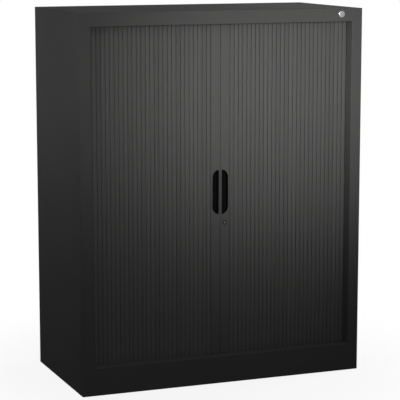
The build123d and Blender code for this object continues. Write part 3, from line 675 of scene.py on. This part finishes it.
# The leading stiles are box sections in extruded aluminium, powder coated to match the slats, that stiffen
# the free edge of each curtain. A moulded nylon shoe in each end slides in the tracks.
LEAD_SHADES = ("#434343", "#484847")
SHOE_SHADES = ("#1b1b1b", "#262626")
SHOE_GRAIN = 0.4 * MM
SHOE_ROUGHNESS = (0.4, 0.55)
lead_coat = powder_coat("satin_powder_coated_aluminium", LEAD_SHADES)
finish_nodes(lead_coat, "left_lead_stile", "right_lead_stile")
shoe_nylon = black_moulding("moulded_black_nylon", SHOE_SHADES, SHOE_GRAIN, SHOE_ROUGHNESS)
finish_nodes(shoe_nylon, "left_guide_shoes", "right_guide_shoes")


# A finger pull is let into each leading stile: a deep cup in black ABS, moulded in one piece with a thin
# rolled rim that snaps over the edge of the cut-out. The two make one upright oval, split by the seam.
# The section gives, in mm, how far each ring lies outside the cut-out and how far behind the stile's face.
PULL_CENTRE = 581 * MM
PULL_STRAIGHT = 43.7 * MM
PULL_REACH = 23.8 * MM
PULL_NEAR = 6.2 * MM
PULL_CORNER = 1.5 * MM
PULL_LEAST_CORNER = 0.4 * MM
PULL_CORNER_STEPS = 5
PULL_OVAL_STEPS = 20
PULL_SECTION = (
    (1.0, 10.8), (1.0, 0.0), (1.6, 0.0), (1.6, -0.25), (1.42, -0.5), (1.1, -0.6), (0.45, -0.6),
    (0.12, -0.48), (0.0, -0.2), (-0.05, 1.0), (-0.25, 6.0), (-0.45, 7.4), (-0.95, 8.6), (-1.8, 9.4),
    (-3.2, 9.75), (-5.0, 9.8),
)
PULL_SHADES = ("#040404", "#080808")
PULL_GRAIN = 0.35 * MM
PULL_ROUGHNESS = (0.45, 0.6)


def pull_outline(grow):
    """The cup's outline in X and Z about its centre, from half an oval, moved out by grow."""
    radius, near = PULL_REACH + grow, PULL_NEAR - grow
    corner = max(PULL_CORNER + grow, PULL_LEAST_CORNER)
    corner_x = near + corner
    rise = math.sqrt((radius - corner) ** 2 - corner_x ** 2)
    meeting = math.atan2(rise, corner_x)
    upper = arc((corner_x, PULL_STRAIGHT + rise), corner, math.pi, meeting, PULL_CORNER_STEPS)
    upper += arc((0, PULL_STRAIGHT), radius, meeting, 0, PULL_OVAL_STEPS)[1:]
    return upper + [(x, -z) for x, z in upper[::-1]]


def pull_shape(face_y, hand):
    """The cup as a closed shell, from its back, round its rim and down to its floor."""
    shape = bmesh.new()
    rings = []
    for grow, depth in PULL_SECTION:
        outline = pull_outline(grow * MM)
        rings.append([shape.verts.new((hand * x, face_y + depth * MM, PULL_CENTRE + z)) for x, z in outline])
    for outer, inner in zip(rings, rings[1:]):
        for i in range(len(outer)):
            j = (i + 1) % len(outer)
            shape.faces.new((outer[i], outer[j], inner[j], inner[i]))
    shape.faces.new(rings[0])
    shape.faces.new(rings[-1])
    bmesh.ops.recalc_face_normals(shape, faces=shape.faces)
    return shape


pull_abs = black_moulding("moulded_black_abs", PULL_SHADES, PULL_GRAIN, PULL_ROUGHNESS)
lead_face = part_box("right_lead_stile")[0].y
for side, hand in (("right", 1), ("left", -1)):
    pull = new_object(f"{side}_finger_pull", mesh_from(f"{side}_finger_pull", pull_shape(lead_face, hand)))
    pull.data.materials.append(pull_abs)
    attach(pull, f"{side}_door")
    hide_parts(f"{side}_pull_cup")


# The lock's barrel and plug are turned from die-cast zinc and nickel plated, dark and satin. Its nut, hook
# and keeper are pressed from steel strip and zinc plated, and pan-head screws with a cross recess fix them.
# A screw's crown and recess are given in shares of the head's radius and height.
NICKEL_SHADES = ("#0b0b0b", "#141313")
PLUG_SHADES = ("#454443", "#5b5957")
NICKEL_ROUGHNESS = (0.26, 0.34)
NICKEL_RING_DEPTH = 0.02 * MM
NICKEL_RING_STRENGTH = 0.12
# The tool's rings are about a quarter of this apart, and are drawn coarser so that they show.
NICKEL_RING = 0.5 * MM
# A wave texture turns through this angle in one unit of its scale.
WAVE_RADIANS = 20
# Painted shade: behind the plug's face the lock darkens towards this colour, from the first depth to the
# second, in place of shadow down in the keyway.
KEYWAY_SHADE_HEX = "#030303"
KEYWAY_SHADE_FROM = 0.3 * MM
KEYWAY_SHADE_AT = 1.2 * MM
PAN_HEAD = 3.6 * MM
PAN_HEIGHT = 2.0 * MM
PAN_SHANK = 1.5 * MM
PAN_REACH = 6.0 * MM
PAN_CROWN = ((1, 0), (1, 0.35), (0.95, 0.62), (0.82, 0.84), (0.6, 0.96), (0.3, 1), (0, 1))
SCREW_SIDES = 32
CROSS_ARM = (0.62, 0.15)
CROSS_TAPER = 0.6
CROSS_FLOOR = 0.3
CROSS_TOP = 1.4


def turned_nickel(name, shades, middle):
    """Nickel over a turned face: fine rings round the lock's own axis, and painted shade that darkens it
    behind the plug's face, down in its openings.
    """
    material, tree = new_material(name)
    place = add(tree, "ShaderNodeTexCoord").outputs["Object"]
    centred = add(tree, "ShaderNodeMapping", {"Vector": place, "Location": [-c for c in middle]}).outputs[0]
    rings = add(tree, "ShaderNodeTexWave", {
        "Vector": centred, "Scale": math.tau / WAVE_RADIANS / NICKEL_RING, "Distortion": 0.4,
    }, wave_type="RINGS", rings_direction="Y").outputs["Fac"]
    tone = add(tree, "ShaderNodeMix", {
        0: rings, 6: from_hex(shades[0]), 7: from_hex(shades[1]),
    }, data_type="RGBA").outputs[2]
    # Painted shade: the tone darkens with depth behind the plug's face, standing in for shadow down in the
    # keyway.
    depth = add(tree, "ShaderNodeSeparateXYZ", {"Vector": centred}).outputs["Y"]
    keyway_shade = add(tree, "ShaderNodeMapRange", {
        "Value": depth, "From Min": KEYWAY_SHADE_FROM, "From Max": KEYWAY_SHADE_AT,
    }).outputs[0]
    shaded_tone = add(tree, "ShaderNodeMix", {
        0: keyway_shade, 6: tone, 7: from_hex(KEYWAY_SHADE_HEX),
    }, data_type="RGBA").outputs[2]
    gloss = add(tree, "ShaderNodeMapRange", {
        "Value": rings, "To Min": NICKEL_ROUGHNESS[0], "To Max": NICKEL_ROUGHNESS[1],
    }).outputs[0]
    bump = add(tree, "ShaderNodeBump", {
        "Height": rings, "Distance": NICKEL_RING_DEPTH, "Strength": NICKEL_RING_STRENGTH,
    }).outputs[0]
    skin = add(tree, "ShaderNodeBsdfPrincipled", {
        "Base Color": shaded_tone, "Metallic": 1.0, "Roughness": gloss, "Normal": bump,
    }).outputs[0]
    add(tree, "ShaderNodeOutputMaterial", {"Surface": skin})
    return material


plug_low, plug_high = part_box("lock_plug")
lock_axis = ((plug_low.x + plug_high.x) / 2, plug_low.y, (plug_low.z + plug_high.z) / 2)
finish_nodes(turned_nickel("dark_nickel_barrel", NICKEL_SHADES, lock_axis), "lock_housing")
finish_nodes(turned_nickel("satin_nickel_plug", PLUG_SHADES, lock_axis), "lock_plug")
finish_nodes(zinc_plate, "lock_nut", "lock_hook", "lock_keeper")


def pan_head_screw(head, height, shank, reach):
    """A pan-head screw along +Z with its seat at 0 and a cross recess cut into its crown."""
    dome = head_outline(head, height, shank, reach, PAN_CROWN)
    blank = new_object("blank", mesh_from("blank", turned(dome, SCREW_SIDES)))
    cross = bmesh.new()
    for along, across in (CROSS_ARM, CROSS_ARM[::-1]):
        for vertex in bmesh.ops.create_cube(cross, size=2.0)["verts"]:
            at_top = vertex.co.z > 0
            taper = 1.0 if at_top else CROSS_TAPER
            vertex.co.x *= along * head * taper
            vertex.co.y *= across * head * taper
            vertex.co.z = (CROSS_TOP if at_top else CROSS_FLOOR) * height
    cutter = new_object("cutter", mesh_from("cutter", cross))
    # The two bars of the cross overlap, so the cut allows for a cutter that meets itself.
    cut = blank.modifiers.new("recess", "BOOLEAN")
    cut.operation = "DIFFERENCE"
    cut.object = cutter
    cut.use_self = True
    depsgraph = bpy.context.evaluated_depsgraph_get()
    shape = bmesh.new()
    shape.from_mesh(blank.evaluated_get(depsgraph).to_mesh())
    for thing in (blank, cutter):
        bpy.data.objects.remove(thing)
    return shape


for node, seed in (("keeper_screws", 7), ("hook_screw", 8)):
    screw = pan_head_screw(PAN_HEAD, PAN_HEIGHT, PAN_SHANK, PAN_REACH)
    fasteners(node, screw, seats_of(node, PAN_HEIGHT, to_the_back), zinc_plate, seed)


# Liners close off the side spaces where the curtains run, held by screws through their feet. Slotted
# uprights in rolled zinc-plated strip stand on them, and the shelves hang from those on pressed clips.
LINER_HEAD = 3.8 * MM
LINER_HEIGHT = 1.8 * MM
LINER_SHANK = 1.9 * MM
LINER_REACH = 8.0 * MM
STRIP_SHADES = ("#7b7d7f", "#96989a")
STRIP_LINE = 0.4 * MM
STRIP_LINE_LENGTH = 120 * MM
STRIP_ROUGHNESS = (0.3, 0.5)


def lined_metal(name, shades, line, roughness, detail):
    """Bright metal with the fine lines of its rolling or polishing; line is their size along X, Y and Z."""
    material, tree = new_material(name)
    place = add(tree, "ShaderNodeTexCoord").outputs["Object"]
    drawn = add(tree, "ShaderNodeMapping", {"Vector": place, "Scale": [1 / size for size in line]}).outputs[0]
    lines = add(tree, "ShaderNodeTexNoise", {"Vector": drawn, "Scale": 1.0, "Detail": detail}).outputs["Fac"]
    tone = add(tree, "ShaderNodeMix", {
        0: lines, 6: from_hex(shades[0]), 7: from_hex(shades[1]),
    }, data_type="RGBA").outputs[2]
    gloss = add(tree, "ShaderNodeMapRange", {
        "Value": lines, "To Min": roughness[0], "To Max": roughness[1],
    }).outputs[0]
    skin = add(tree, "ShaderNodeBsdfPrincipled", {"Base Color": tone, "Metallic": 1.0, "Roughness": gloss})
    add(tree, "ShaderNodeOutputMaterial", {"Surface": skin.outputs[0]})
    return material


def up_or_down(place):
    """The way that the liners' screws look: up from the floor pan, or down from the ceiling pan."""
    return (0, 0, 1 if place.z < mid_height else -1)


mid_height = (cad_box[0].z + cad_box[1].z) / 2
rolled_strip = lined_metal(
    "rolled_zinc_plated_strip", STRIP_SHADES, (STRIP_LINE, STRIP_LINE, STRIP_LINE_LENGTH), STRIP_ROUGHNESS,
    detail=4.0,
)
finish_nodes(
    rolled_strip, "left_front_upright", "left_rear_upright", "right_front_upright", "right_rear_upright",
)
finish_nodes(zinc_plate, "shelf_clips")
liner_screw = pan_head_screw(LINER_HEAD, LINER_HEIGHT, LINER_SHANK, LINER_REACH)
liner_seats = seats_of("liner_screws", LINER_HEIGHT, up_or_down)
fasteners("liner_screws", liner_screw, liner_seats, zinc_plate, seed=9)


# A plain round badge, stamped from aluminium sheet with a low dome and polished bright, is stuck on the
# header. Its rim and the rings of its dome are given in shares of its radius and thickness.
BADGE_RADIUS = 10 * MM
BADGE_PROUD = 1 * MM
BADGE_SIDES = 64
BADGE_RIM = ((0, 0), (1, 0), (1, 0.4), (0.985, 0.54))
BADGE_RINGS = (0.95, 0.8, 0.6, 0.4, 0.2, 0)
BADGE_DOME = 0.42
BADGE_CREASE = 50.0
BADGE_SHADES = ("#808183", "#9c9d9f")
# Polishing leaves hair lines that are far finer than this, and they are drawn coarser so that they show.
BADGE_LINE = 0.3 * MM
BADGE_LINE_LENGTH = 3 * MM
BADGE_ROUGHNESS = (0.18, 0.3)

badge_section = [*BADGE_RIM, *((ring, 1 - BADGE_DOME * ring ** 2) for ring in BADGE_RINGS)]
badge_shape = turned([(across * BADGE_RADIUS, up * BADGE_PROUD) for across, up in badge_section], BADGE_SIDES)
badge_low, badge_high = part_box("blank_badge")
badge_seat = Vector(((badge_low.x + badge_high.x) / 2, badge_high.y, (badge_low.z + badge_high.z) / 2))
for vertex in badge_shape.verts:
    vertex.co = badge_seat + Vector((vertex.co.x, -vertex.co.z, vertex.co.y))
badge = new_object("round_badge", mesh_from("round_badge", badge_shape, BADGE_CREASE))
badge.data.materials.append(lined_metal(
    "polished_aluminium", BADGE_SHADES, (BADGE_LINE_LENGTH, BADGE_LINE, BADGE_LINE), BADGE_ROUGHNESS,
    detail=3.0,
))
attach(badge, "cabinet")
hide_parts("blank_badge")
